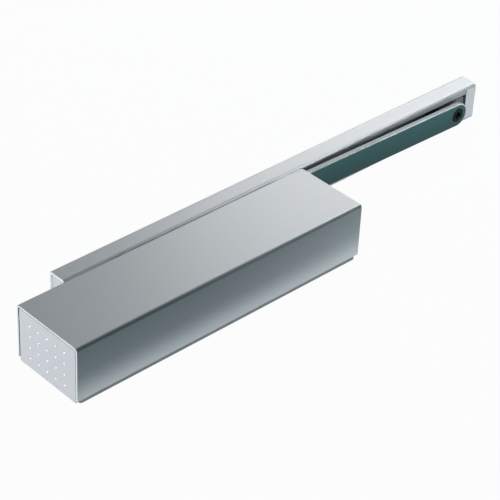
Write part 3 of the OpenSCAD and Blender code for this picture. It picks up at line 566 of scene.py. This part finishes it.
def arm_paint(name, face, edge, chamfer):
    """Painted shade on the flats and narrow edges, and a painted highlight on the chamfers."""
    finish = Finish(name)
    grain = finish.noise((40, 900, 2600), detail=3)
    cloud = finish.noise((14, 40, 40))
    front = finish.facing("Y")
    tilt = (SPINDLE.z - BOLT_AXIS.z) / (BOLT_AXIS.x - SPINDLE.x)
    # Distance from the arm's middle line, upward
    across = finish.where("Z") + finish.where("X") * tilt - (SPINDLE.z + SPINDLE.x * tilt)
    reach = 11 * MM
    skin = finish.blend(cloud, shade(face, 0.82), shade(face, 1.18))
    # Painted shade: the flats darken towards the arm's lower edge
    skin = finish.blend(across.step(-reach, reach), skin, shade(face, 1.5))
    # Painted shade on the narrow edges, and a painted highlight on the chamfers
    rim = finish.blend(grain, shade(edge, 0.92), shade(edge, 1.08))
    rim = finish.blend(front.step(0.30, 0.60), rim, chamfer)
    finish.set(
        Base_Color=finish.blend(front.step(0.80, 0.97), rim, skin),
        Metallic=0.1,
        Roughness=0.36 + grain * 0.08,
        Specular_IOR_Level=0.2,
    )
    finish.relief(grain, 0.008 * MM)
    return finish.material


def cast_metal(name, base):
    """As-cast aluminium: pebbled and a little uneven."""
    finish = Finish(name)
    pebbles = finish.noise((700, 700, 700), detail=4, roughness=0.6)
    cloud = finish.noise((40, 40, 40))
    finish.set(
        Base_Color=finish.blend(cloud, shade(base, 0.88), shade(base, 1.1)),
        Metallic=0.6,
        Roughness=0.5 + pebbles * 0.15,
    )
    finish.relief(pebbles, 0.06 * MM)
    return finish.material


def plated_steel(name, base):
    """Zinc plated sheet with faint spangles."""
    finish = Finish(name)
    spangle = finish.noise((260, 260, 260))
    finish.set(
        Base_Color=finish.blend(spangle, shade(base, 0.85), shade(base, 1.15)),
        Metallic=0.6,
        Roughness=0.42 + spangle * 0.12,
    )
    finish.relief(finish.noise((2500, 2500, 2500)), 0.01 * MM)
    return finish.material


def turned_metal(name, base, roughness, metallic=0.9):
    """Turned or ground metal with fine tool marks."""
    finish = Finish(name)
    marks = finish.noise((3500, 3500, 3500))
    cloud = finish.noise((120, 120, 120))
    finish.set(
        Base_Color=finish.blend(cloud, shade(base, 0.93), shade(base, 1.06)),
        Metallic=metallic,
        Roughness=roughness + marks * 0.08,
    )
    finish.relief(marks, 0.006 * MM)
    return finish.material


def black_oxide(name, base):
    """Oiled black oxide: dark, glossy and a little blotchy."""
    finish = Finish(name)
    blotch = finish.noise((900, 900, 900))
    finish.set(
        Base_Color=finish.blend(blotch, base, shade(base, 1.6)),
        Roughness=0.16 + blotch * 0.12,
        Specular_IOR_Level=0.06,
    )
    finish.relief(blotch, 0.01 * MM)
    return finish.material


def moulded(name, base, roughness):
    """Moulded plastic or rubber with a fine matt skin."""
    finish = Finish(name)
    skin = finish.noise((2200, 2200, 2200))
    finish.set(
        Base_Color=finish.blend(skin, shade(base, 0.9), shade(base, 1.12)),
        Roughness=roughness + skin * 0.1,
    )
    finish.relief(skin, 0.02 * MM)
    return finish.material


def floor_paper(name, base, shadow):
    """Pale paper: white to the eye and in metal, with a share of the real shadow."""
    finish = Finish(name)
    fibres = finish.noise((400, 400, 400), detail=3)
    finish.set(
        Base_Color=finish.blend(fibres, shade(base, 0.98), shade(base, 1.02)),
        Roughness=0.9,
        Specular_IOR_Level=0.1,
    )
    glow = finish.node("ShaderNodeEmission", sockets={"Color": (1, 1, 1), "Strength": 1})
    path = finish.node("ShaderNodeLightPath")
    seen = Value(finish, path.outputs["Is Camera Ray"])
    for kind in ("Is Glossy Ray", "Is Transmission Ray"):
        seen = seen.math("MAXIMUM", seen, path.outputs[kind])
    mix = finish.node("ShaderNodeMixShader", sockets={
        0: seen * (1 - shadow), 1: finish.shader.outputs["BSDF"], 2: glow.outputs["Emission"]})
    finish.feed(finish.output.inputs["Surface"], mix.outputs["Shader"])
    return finish.material


# Operators: one for each piece or group of like pieces, and one for the studio


class DOORCLOSER_OT_cover(bpy.types.Operator):
    """Bent sheet cover with its notch at the spindle"""

    bl_idname = "doorcloser.cover"
    bl_label = "Cover"

    def execute(self, context):
        sizes = context.scene.closer_body
        finishes = context.scene.closer_finishes
        low, high = COVER
        width = high.y - low.y
        inner = width / 2 - sizes.sheet
        inner_bend = sizes.bend - sizes.sheet
        outside = arch(width, low.z, high.z, sizes.bend)
        inside = arch(2 * inner, low.z, high.z - sizes.sheet, inner_bend)
        outline = [outside[0]] + outside[-1:1:-1] + [outside[1], inside[1]] + inside[2:] \
            + [inside[0]]
        cover = prism("cover_sheet", outline, low.x, high.x, ALONG_X)
        notch = arc((SPINDLE.x, SPINDLE.z), sizes.notch, 0, 180, 48)
        notch += [(SPINDLE.x - sizes.notch, -sizes.bend), (SPINDLE.x + sizes.notch, -sizes.bend)]
        carve(cover, [prism("notch", notch, inner - MM, high.y + MM, ALONG_Y)])
        soften(cover, 0.22 * MM)
        # The cover's bends get a painted dark reflection, and its sides get painted shade towards
        # the front
        material = satin_aluminium("satin_cover", finishes.satin, finishes.cut_edge,
                                   edge=finishes.bend, edge_metal=0, crest=(0.01, 0.12),
                                   dusk=(28 * MM, 52 * MM))
        dress(cover, "closer", "satin_aluminium", material, "cover")
        return {"FINISHED"}


class DOORCLOSER_OT_end_caps(bpy.types.Operator):
    """Lacquered end caps with their pips and rims"""

    bl_idname = "doorcloser.end_caps"
    bl_label = "End Caps"

    def execute(self, context):
        sizes = context.scene.closer_body
        finishes = context.scene.closer_finishes
        low, high = LEFT_CAP
        width = high.y - low.y
        face_x = low.x + sizes.pip_rise
        corner = 1.0 * MM
        # Each pip gets a painted highlight over the outer part of its rise
        material = cap_lacquer("cap_lacquer", finishes.cap, crown=finishes.pip,
                               crown_x=sizes.pip_rise * 0.45 - face_x)
        for side, node in ((1, "end_cap_left"), (-1, "end_cap_right")):
            outline = arch(width - 2 * sizes.cap_step, low.z, high.z - sizes.cap_step, corner)
            face = prism("face", outline, face_x, face_x + sizes.cap_face, ALONG_X)
            rim = prism("rim", arch(width, sizes.rim_base, high.z, corner),
                        face_x + sizes.cap_face / 2, high.x, ALONG_X)
            hollow = arch(width - 2 * sizes.cap_rim, 0, high.z - sizes.cap_rim, corner / 2)
            carve(rim, [prism("hollow", hollow, face_x + sizes.cap_face, high.x + MM, ALONG_X)])
            cap = carve(face, [rim], "UNION")
            soften(cap, 0.4 * MM, steps=3)
            carve(cap, self.pips(sizes, face_x), "UNION")
            shade_faces(cap)
            if side < 0:
                cap.data.transform(Matrix.Scale(-1, 4, (1, 0, 0)))
                cap.data.flip_normals()
            cap.name = node + "_casting"
            dress(cap, "closer", "cap_zinc", material, node)
        return {"FINISHED"}

    def pips(self, sizes, face_x):
        """Low domes in rows, one object for each."""
        ball = (sizes.pip ** 2 + sizes.pip_rise ** 2) / (2 * sizes.pip_rise)
        reach = math.degrees(math.asin(sizes.pip / ball))
        # The domes reach into the face by their root
        rings, root = 5, 0.5 * MM
        turns = [math.radians(reach * i / rings) for i in range(rings + 1)]
        crown = [(ball * math.sin(t), ball - sizes.pip_rise - ball * math.cos(t)) for t in turns]
        profile = [(0, crown[0][1])] + crown[1:] + [(sizes.pip, root), (0, root)]
        pips = []
        for column in range(sizes.pip_columns):
            for row in range(sizes.pip_rows):
                y = (column - (sizes.pip_columns - 1) / 2) * sizes.pip_pitch
                z = sizes.pip_centre + (row - (sizes.pip_rows - 1) / 2) * sizes.pip_pitch
                pips.append(lathe("pip", profile, ALONG_X, (face_x, y, z), steps=20))
        return pips


class DOORCLOSER_OT_arm(bpy.types.Operator):
    """Flat arm with chamfered edges, its hub and its raised ring"""

    bl_idname = "doorcloser.arm"
    bl_label = "Arm"

    def execute(self, context):
        sizes = context.scene.closer_arm
        finishes = context.scene.closer_finishes
        top = CHANNEL[0].y - sizes.gap
        bottom = top - sizes.thickness
        reach = Vector((BOLT_AXIS.x - SPINDLE.x, BOLT_AXIS.z - SPINDLE.z))
        fall = math.degrees(math.atan2(reach.y, reach.x))
        hub = (SPINDLE.x, SPINDLE.z)
        tip = (BOLT_AXIS.x, BOLT_AXIS.z)
        lap = math.degrees(math.asin(sizes.width / 2 / sizes.hub))
        outline = arc(hub, sizes.hub, fall + lap, fall + 360 - lap, 72)
        outline += arc(tip, sizes.width / 2, fall - 90, fall + 90, 48)
        arm = prism("arm_bar", outline, bottom, top, ALONG_Y, chamfer=sizes.chamfer)
        collar = lathe("collar", self.round_bar(sizes.hub - MM, ARM[0].y, bottom + MM), ALONG_Y,
                       AT_SPINDLE)
        ring = lathe("ring", self.round_bar(sizes.ring, top - MM, ARM[1].y), ALONG_Y, AT_BOLT)
        carve(arm, [collar, ring], "UNION")
        turn = Matrix.Rotation(math.radians(-fall), 4, "Y")
        corner, slack, play = 0.3 * MM, 0.2 * MM, 0.05 * MM
        square = rounded_box(sizes.square, sizes.square, corner)
        socket = prism("square", square, ARM[0].y - MM, top - sizes.screw - slack, ALONG_Y)
        socket.data.transform(Matrix.Translation(AT_SPINDLE) @ turn)
        sink = [(0, top - 2 * sizes.screw), (sizes.screw + play, top - 2 * sizes.screw),
                (sizes.screw + play, top - sizes.screw), (2 * sizes.screw + play, top),
                (2 * sizes.screw + play, top + MM), (0, top + MM)]
        shoulder = bottom + sizes.bolt_head_height
        seat = [(0, bottom - MM), (sizes.bolt_head + slack, bottom - MM),
                (sizes.bolt_head + slack, shoulder), (sizes.bolt_pin + play, shoulder),
                (sizes.bolt_pin + play, ARM[1].y + MM), (0, ARM[1].y + MM)]
        carve(arm, [socket, lathe("sink", sink, ALONG_Y, AT_SPINDLE),
                    lathe("seat", seat, ALONG_Y, AT_BOLT)])
        soften(arm, 0.16 * MM, angle=28, broad=1.0 * MM)
        material = arm_paint("arm_paint", finishes.arm_face_painted_shade, finishes.arm_edge_painted_shade,
                             finishes.arm_chamfer_painted_highlight)
        dress(arm, "swing_arm", "satin_aluminium", material, "arm")
        return {"FINISHED"}

    def round_bar(self, radius, start, end):
        """Profile of a plain round bar."""
        return [(0, start), (radius, start), (radius, end), (0, end)]


class DOORCLOSER_OT_arm_fasteners(bpy.types.Operator):
    """Slide bolt and arm screw, each with a hexagon socket"""

    bl_idname = "doorcloser.arm_fasteners"
    bl_label = "Arm Fasteners"

    def execute(self, context):
        sizes = context.scene.closer_arm
        finishes = context.scene.closer_finishes
        black = black_oxide("black_oxide", finishes.black)
        low, high = BOLT
        head, pin, key_radius = sizes.bolt_head, sizes.bolt_pin, sizes.bolt_head / 2
        head_round, tip_chamfer, lead_in, key_depth = 0.45 * MM, 0.3 * MM, 0.5 * MM, 2.2 * MM
        shoulder = low.y + sizes.bolt_head_height
        groove_end = high.y - 0.8 * MM
        groove_start = groove_end - 1.1 * MM
        groove_radius = pin - 0.7 * MM
        profile = [(0, low.y), (head - head_round, low.y), (head, low.y + head_round),
                   (head, shoulder), (pin, shoulder), (pin, groove_start),
                   (groove_radius, groove_start), (groove_radius, groove_end), (pin, groove_end),
                   (pin, high.y - tip_chamfer), (pin - tip_chamfer, high.y), (0, high.y)]
        bolt = lathe("slide_bolt_head", profile, ALONG_Y, AT_BOLT)
        key = arc((0, 0), key_radius, 15, 375, 6)[:-1]
        mouth = [(0, low.y - MM), (key_radius + lead_in, low.y - MM),
                 (key_radius + lead_in, low.y), (key_radius - lead_in, low.y + lead_in),
                 (0, low.y + lead_in)]
        carve(bolt, [prism("key", key, low.y - MM, low.y + key_depth, ALONG_Y, AT_BOLT),
                     lathe("mouth", mouth, ALONG_Y, AT_BOLT)])
        soften(bolt, 0.08 * MM, angle=25)
        dress(bolt, "swing_arm", "black_steel", black, "slide_bolt")

        screw_low, screw_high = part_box("arm_screw")
        rim = screw_high.y - 0.1 * MM
        wide = 2 * sizes.screw - 0.1 * MM
        tip_chamfer, key_depth = 0.4 * MM, 2 * MM
        profile = [(0, screw_low.y), (sizes.screw - tip_chamfer, screw_low.y),
                   (sizes.screw, screw_low.y + tip_chamfer), (sizes.screw, rim - sizes.screw),
                   (wide - 0.2 * MM, rim), (wide - 0.35 * MM, screw_high.y), (0, screw_high.y)]
        screw = lathe("arm_screw_head", profile, ALONG_Y, AT_SPINDLE)
        key = arc((0, 0), 0.75 * sizes.screw, 0, 360, 6)[:-1]
        carve(screw, [prism("key", key, screw_high.y - key_depth, screw_high.y + MM, ALONG_Y,
                            AT_SPINDLE)])
        soften(screw, 0.08 * MM, angle=25)
        steel = turned_metal("screw_steel", finishes.steel, 0.3)
        dress(screw, "swing_arm", "machined_steel", steel, "arm_screw")
        return {"FINISHED"}


class DOORCLOSER_OT_channel(bpy.types.Operator):
    """Extruded slide channel with its lips"""

    bl_idname = "doorcloser.channel"
    bl_label = "Slide Channel"

    def execute(self, context):
        sizes = context.scene.closer_channel
        finishes = context.scene.closer_finishes
        low, high = CHANNEL
        near, far = low.y, high.y
        wall, lip, top = sizes.wall, sizes.lip, high.z
        outline = [(near, 0), (far, 0)]
        outline += arc((far - sizes.edge, top - sizes.edge), sizes.edge, 0, 90)
        outline += arc((near + sizes.edge, top - sizes.edge), sizes.edge, 90, 180)
        outline += [(near, top - lip), (near + wall, top - lip), (near + wall, top - wall),
                    (far - wall, top - wall), (far - wall, wall), (near + wall, wall),
                    (near + wall, lip), (near, lip)]
        channel = prism("channel_extrusion", outline, low.x, high.x, ALONG_X)
        middle_y = (near + far) / 2
        tools = []
        for start, end in ((low.x - MM, LONG_END[1].x + sizes.play),
                           (SHORT_END[0].x - sizes.play, high.x + MM)):
            inside = near + wall + MM / 2
            mouth = [(near - MM, wall), (inside, wall), (inside, top - wall),
                     (near - MM, top - wall)]
            tools.append(prism("mouth", mouth, start, end, ALONG_X))
        foot = sizes.foot / 2 + sizes.play
        long_foot, short_foot = foot_centres(sizes)
        for start, end in ((low.x - MM, long_foot + foot), (short_foot - foot, high.x + MM)):
            slot = [(middle_y - foot, -MM), (middle_y + foot, -MM),
                    (middle_y + foot, wall + MM / 2), (middle_y - foot, wall + MM / 2)]
            tools.append(prism("slot", slot, start, end, ALONG_X))
        carve(channel, tools)
        soften(channel, 0.35 * MM, steps=3)
        # The channel's round edges get a painted highlight, and its upper near face gets painted
        # shade
        material = satin_aluminium("satin_channel", finishes.channel, finishes.cut_edge,
                                   edge=finishes.round_edge_highlight, edge_metal=0.7, crest=(0.22, 0.50),
                                   dusk=(20 * MM, 27 * MM))
        dress(channel, "channel", "satin_aluminium", material, "slide_channel")
        return {"FINISHED"}


class DOORCLOSER_OT_channel_ends(bpy.types.Operator):
    """End pieces that close the channel's slot"""

    bl_idname = "doorcloser.channel_ends"
    bl_label = "Channel Ends"

    def execute(self, context):
        sizes = context.scene.closer_channel
        material = cap_lacquer("end_lacquer", context.scene.closer_finishes.cap)
        near, far = CHANNEL[0].y, CHANNEL[1].y
        middle_y = (near + far) / 2
        corner = 0.3 * MM
        for node, (low, high), foot_x in zip(("channel_end_left", "channel_end_right"),
                                             (LONG_END, SHORT_END), foot_centres(sizes)):
            base = sizes.wall + sizes.play
            outline = rounded_box(high.y - low.y, high.z - base, corner,
                                  ((low.y + high.y) / 2, (base + high.z) / 2))
            piece = prism(node + "_block", outline, low.x, high.x, ALONG_X)
            foot = prism("foot", rounded_box(sizes.foot, sizes.foot, corner), 0, base + MM,
                         ALONG_Z, (foot_x, middle_y, 0))
            carve(piece, [foot], "UNION")
            bore = [(0, -MM), (sizes.hole, -MM), (sizes.hole, sizes.seat),
                    (sizes.head_hole, sizes.seat), (sizes.head_hole, high.z + MM), (0, high.z + MM)]
            tools = [lathe("bore", bore, ALONG_Z, (foot_x, middle_y, 0))]
            if node == "channel_end_left":
                screw_low, screw_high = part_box("channel_clamp_screw")
                radius = (screw_high.x - screw_low.x) / 2 + sizes.play
                thread = [(0, low.y - MM), (radius, low.y - MM), (radius, far + MM), (0, far + MM)]
                place = ((screw_low.x + screw_high.x) / 2, 0, (screw_low.z + screw_high.z) / 2)
                tools.append(lathe("thread", thread, ALONG_Y, place))
            carve(piece, tools)
            soften(piece, 0.5 * MM, steps=3)
            dress(piece, "channel", "cap_zinc", material, node)
        return {"FINISHED"}


class DOORCLOSER_OT_shoe(bpy.types.Operator):
    """Plastic shoe that slides in the channel"""

    bl_idname = "doorcloser.shoe"
    bl_label = "Sliding Shoe"

    def execute(self, context):
        sizes = context.scene.closer_channel
        arm = context.scene.closer_arm
        low, high = SHOE
        length_x = high.x - low.x
        gap, corner, play = 0.3 * MM, 3 * MM, 0.05 * MM
        body_low = CHANNEL[0].y + sizes.wall + gap
        neck = CHANNEL[1].z - 2 * sizes.lip - 2 * gap
        place = (BOLT_AXIS.x, 0, (low.z + high.z) / 2)
        shoe = prism("shoe_block", rounded_box(length_x, high.z - low.z, corner), body_low,
                     high.y, ALONG_Y, place)
        carve(shoe, [prism("neck", rounded_box(length_x, neck, corner), low.y, body_low + MM,
                           ALONG_Y, place)], "UNION")
        bush = (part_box("block_bush")[1].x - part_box("block_bush")[0].x) / 2 + play
        # The recess behind the bush has room for the retaining ring
        recess = 3.4 * MM
        wide = arm.bolt_pin + 4.4 * MM
        bore = [(0, low.y - MM), (bush, low.y - MM), (bush, high.y - recess),
                (wide, high.y - recess), (wide, high.y + MM), (0, high.y + MM)]
        carve(shoe, [lathe("bore", bore, ALONG_Y, place)])
        soften(shoe, 0.4 * MM, steps=3)
        material = moulded("shoe_plastic", context.scene.closer_finishes.plastic, 0.45)
        dress(shoe, "shoe", "shoe_plastic", material, "slide_block")
        return {"FINISHED"}


class DOORCLOSER_OT_works(bpy.types.Operator):
    """Finishes of the plate, the housing and the mechanism inside"""

    bl_idname = "doorcloser.works"
    bl_label = "Works"

    def execute(self, context):
        finishes = context.scene.closer_finishes
        by_slot = {
            "plate_steel": plated_steel("plate_steel_finish", finishes.plate),
            "cast_housing": cast_metal("cast_housing_finish", finishes.cast),
            "machined_steel": turned_metal("machined_steel_finish", finishes.steel, 0.32),
            "bright_steel": turned_metal("bright_steel_finish", finishes.bright, 0.16, 1.0),
            "black_steel": black_oxide("black_steel_finish", finishes.black),
            "seal_rubber": moulded("seal_rubber_finish", finishes.rubber, 0.6),
            "valve_brass": turned_metal("valve_brass_finish", finishes.brass, 0.25, 1.0),
        }
        for part in frame["record"]["subparts"]:
            if part["material_slot"] in by_slot:
                node = frame["nodes"][part["node"]]
                node.material_slots[0].material = by_slot[part["material_slot"]]
        return {"FINISHED"}


class DOORCLOSER_OT_springs(bpy.types.Operator):
    """Closing springs, each cut into a half at the piston's end and a half at the seat's end"""

    bl_idname = "doorcloser.springs"
    bl_label = "Closing Springs"

    def execute(self, context):
        material = turned_metal("spring_wire", context.scene.closer_finishes.bright, 0.16, 1.0)
        for node in ("closing_spring_outer", "closing_spring_inner"):
            low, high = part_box(node)
            middle = (low + high) / 2
            for side, body, end in (("piston", "closing_piston", low),
                                    ("seat", "preload_seat", high)):
                start = Vector((end.x, middle.y, middle.z))
                form = bmesh.new()
                form.from_mesh(frame["nodes"][node].data)
                bmesh.ops.remove_doubles(form, verts=form.verts, dist=0.001 * MM)
                bmesh.ops.bisect_plane(form, geom=[*form.verts, *form.edges, *form.faces],
                                       plane_co=middle, plane_no=middle - start, clear_outer=True)
                cut = [edge for edge in form.edges if edge.is_boundary]
                bmesh.ops.holes_fill(form, edges=cut, sides=0)
                half = shade_faces(new_object(f"{node}_{side}_half", form), crease=40)
                half.data.materials.append(material)
                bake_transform(half)
                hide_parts(node)
        return {"FINISHED"}


class DOORCLOSER_OT_studio(bpy.types.Operator):
    """Camera, soft lamps and a pale floor"""

    bl_idname = "doorcloser.studio"
    bl_label = "Studio"

    def execute(self, context):
        studio = context.scene.closer_studio
        self.camera(context, studio)
        self.world(context, studio)
        for lamp in LAMPS:
            self.softbox(*lamp)
        self.floor(studio)
        context.scene.view_settings.view_transform = "Standard"
        return {"FINISHED"}

    def camera(self, context, studio):
        """The camera at its eye point, turned by its three angles."""
        azimuth, elevation, roll = studio.azimuth, studio.elevation, studio.roll
        back = Vector((math.sin(azimuth) * math.cos(elevation),
                       -math.cos(azimuth) * math.cos(elevation), math.sin(elevation)))
        right = Vector((math.cos(azimuth), math.sin(azimuth), 0))
        up = back.cross(right)
        across = math.cos(roll) * right + math.sin(roll) * up
        upward = math.cos(roll) * up - math.sin(roll) * right
        turn = Matrix((across, upward, back)).transposed().to_4x4()
        data = bpy.data.cameras.new("camera")
        data.lens = studio.lens
        data.sensor_width = 36
        data.clip_start = 0.05
        data.clip_end = 50
        camera = bpy.data.objects.new("camera", data)
        camera.matrix_world = Matrix.Translation(studio.eye) @ turn
        context.scene.collection.objects.link(camera)
        context.scene.camera = camera

    def world(self, context, studio):
        """Even light from all round."""
        world = bpy.data.worlds.new("studio_world")
        world.use_nodes = True
        sky = world.node_tree.nodes["Background"]
        sky.inputs["Color"].default_value = (*studio.sky, 1)
        sky.inputs["Strength"].default_value = studio.world
        context.scene.world = world

    def softbox(self, name, place, target, size, power, spread):
        """A rectangular lamp that faces its target."""
        data = bpy.data.lights.new(name, "AREA")
        data.color = LAMP_TINT
        data.shape = "RECTANGLE"
        data.size, data.size_y = size
        data.energy = power
        data.spread = math.radians(spread)
        lamp = bpy.data.objects.new(name, data)
        lamp.location = place
        lamp.rotation_mode = "QUATERNION"
        lamp.rotation_quaternion = (Vector(place) - Vector(target)).to_track_quat("Z", "Y")
        bpy.context.scene.collection.objects.link(lamp)

    def floor(self, studio):
        """A wide pale floor, a small gap under the mounting plate."""
        outline = rounded_box(FLOOR_WIDTH, FLOOR_WIDTH, FLOOR_CORNER)
        floor = prism("floor", outline, -FLOOR_THICKNESS, -FLOOR_GAP, ALONG_Z)
        floor.data.materials.append(floor_paper("floor_paper", studio.floor, studio.shadow))


class DOORCLOSER_PT_panel(bpy.types.Panel):
    """Steps and sizes of the door closer"""

    bl_idname = "DOORCLOSER_PT_panel"
    bl_label = "Door Closer"
    bl_space_type = "VIEW_3D"
    bl_region_type = "UI"
    bl_category = "Door Closer"

    def draw(self, context):
        layout = self.layout
        for step in STEPS:
            layout.operator(step.bl_idname)
        for group in GROUPS:
            box = layout.box()
            settings = getattr(context.scene, group)
            box.label(text=group.replace("_", " ").title())
            for name in settings.__annotations__:
                box.prop(settings, name)


GROUPS = {
    "closer_body": BodySizes,
    "closer_arm": ArmSizes,
    "closer_channel": ChannelSizes,
    "closer_finishes": FinishColours,
    "closer_studio": StudioSettings,
}
STEPS = (
    DOORCLOSER_OT_cover,
    DOORCLOSER_OT_end_caps,
    DOORCLOSER_OT_arm,
    DOORCLOSER_OT_arm_fasteners,
    DOORCLOSER_OT_channel,
    DOORCLOSER_OT_channel_ends,
    DOORCLOSER_OT_shoe,
    DOORCLOSER_OT_works,
    DOORCLOSER_OT_springs,
    DOORCLOSER_OT_studio,
)
CLASSES = (*GROUPS.values(), *STEPS, DOORCLOSER_PT_panel)


def register():
    for item in CLASSES:
        bpy.utils.register_class(item)
    for name, group in GROUPS.items():
        setattr(bpy.types.Scene, name, bpy.props.PointerProperty(type=group))


def unregister():
    for name in GROUPS:
        delattr(bpy.types.Scene, name)
    for item in reversed(CLASSES):
        bpy.utils.unregister_class(item)


def main():
    register()
    for step in STEPS:
        family, name = step.bl_idname.split(".")
        getattr(getattr(bpy.ops, family), name)()


if __name__ == "__main__":
    main()
